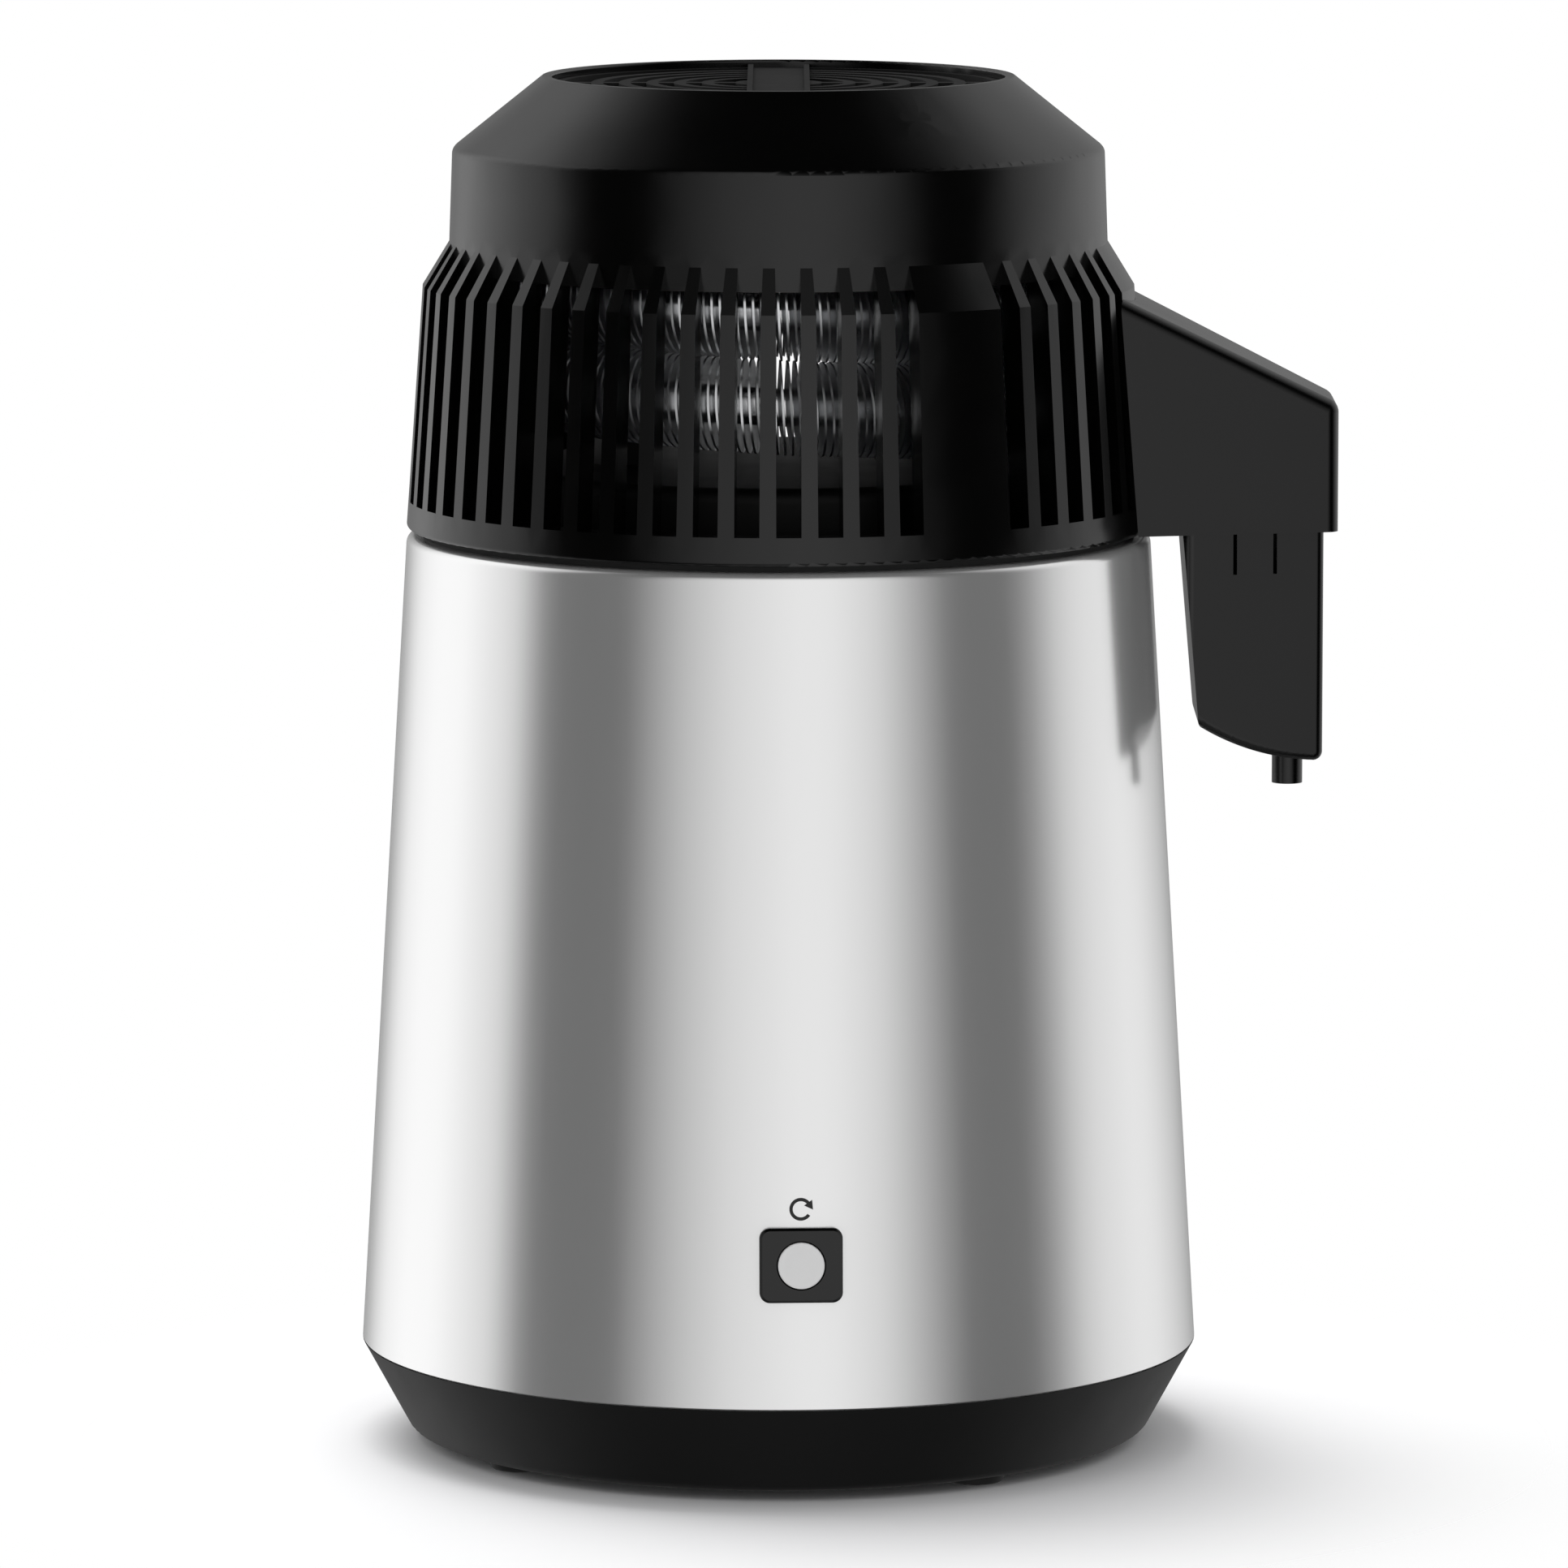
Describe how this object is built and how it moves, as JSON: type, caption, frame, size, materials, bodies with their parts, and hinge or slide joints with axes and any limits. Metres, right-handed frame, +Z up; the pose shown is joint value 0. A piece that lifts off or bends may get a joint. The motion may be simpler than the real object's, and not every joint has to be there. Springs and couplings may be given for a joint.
{
  "type": "countertop water distiller",
  "caption": "Tapered steel boiler on a moulded base with a lift-off black head holding a finned condenser coil, a cooling fan and a drip cup under its spout; distils tap water.",
  "frame": {"origin": "on the boiler's axis at the level of the countertop, under the feet", "axes": "+Z up along the boiler's axis, +X towards the spout, -Y towards the front with the reset button"},
  "size_m": [0.2676, 0.2331, 0.3756],
  "materials": {
    "head_plastic": "satin black moulded plastic",
    "base_plastic": "matt black moulded plastic",
    "shell_steel": "satin stainless sheet",
    "vessel_steel": "drawn stainless sheet",
    "tube_steel": "bright drawn tube",
    "fin_aluminium": "bright rolled strip",
    "heater_aluminium": "as cast",
    "element_sheath": "dull oxidised sheath",
    "control_plastic": "moulded phenolic",
    "plated_steel": "bright zinc plate",
    "button_plastic": "grey moulded plastic",
    "pin_brass": "bright",
    "winding_copper": "enamelled copper wire under tape",
    "motor_iron": "oiled laminations",
    "foot_rubber": "matt",
    "gasket_silicone": "milky silicone",
    "fan_plastic": "moulded plastic",
    "pod_fabric": "non-woven bag round carbon grains"
  },
  "bodies": {
    "boiler": {"rubber_feet": "foot_rubber", "base_moulding": "base_plastic", "outer_shell": "shell_steel", "boiling_vessel": "vessel_steel", "vessel_base": "vessel_steel", "vessel_studs": "plated_steel", "stud_nuts": "plated_steel", "heater_plate": "heater_aluminium", "heating_element": "element_sheath", "thermostat": "control_plastic", "thermostat_clip": "plated_steel", "clip_screws": "plated_steel", "reset_bezel": "head_plastic", "reset_spring": "plated_steel", "reset_switch": "control_plastic", "mains_inlet": "base_plastic", "inlet_pins": "pin_brass", "inlet_screws": "plated_steel", "fan_socket": "base_plastic", "socket_pins": "pin_brass"},
    "reset_key": {"reset_button": "button_plastic"},
    "head": {"lid_gasket": "gasket_silicone", "vapour_dome": "vessel_steel", "dome_screws": "plated_steel", "head_housing": "head_plastic", "top_grille": "head_plastic", "spout_block": "head_plastic", "spout_screws": "plated_steel", "condenser_tube": "tube_steel", "condenser_fins": "fin_aluminium", "riser_fitting": "plated_steel", "outlet_grommet": "gasket_silicone", "motor_spider": "plated_steel", "spider_screws": "plated_steel", "motor_spacers": "plated_steel", "motor_stator": "motor_iron", "motor_winding": "winding_copper", "lower_bridge": "plated_steel", "shaft_bushes": "pin_brass", "motor_screws": "plated_steel", "fan_lead_gland": "foot_rubber"},
    "fan": {"motor_rotor": "motor_iron", "fan_shaft": "tube_steel", "fan_impeller": "fan_plastic"},
    "cup": {"drip_cup": "head_plastic", "filter_pod": "pod_fabric"}
  },
  "joints": [
    {"name": "head_lift", "type": "slide", "parent": "boiler", "child": "head", "axis": [0, 0, 1], "range_m": [0, 0.08]},
    {"name": "fan_spin", "type": "hinge", "parent": "head", "child": "fan", "pos_m": [0, 0, 0.36], "axis": [0, 0, 1], "continuous": true},
    {"name": "cup_pull", "type": "slide", "parent": "head", "child": "cup", "axis": [0, 0, -1], "range_m": [0, 0.06]},
    {"name": "reset_press", "type": "slide", "parent": "boiler", "child": "reset_key", "axis": [-0.0533, 0.9968, -0.0591], "range_m": [0, 0.002], "stiffness_N_per_m": 300, "deforming": ["reset_spring"]}
  ]
}
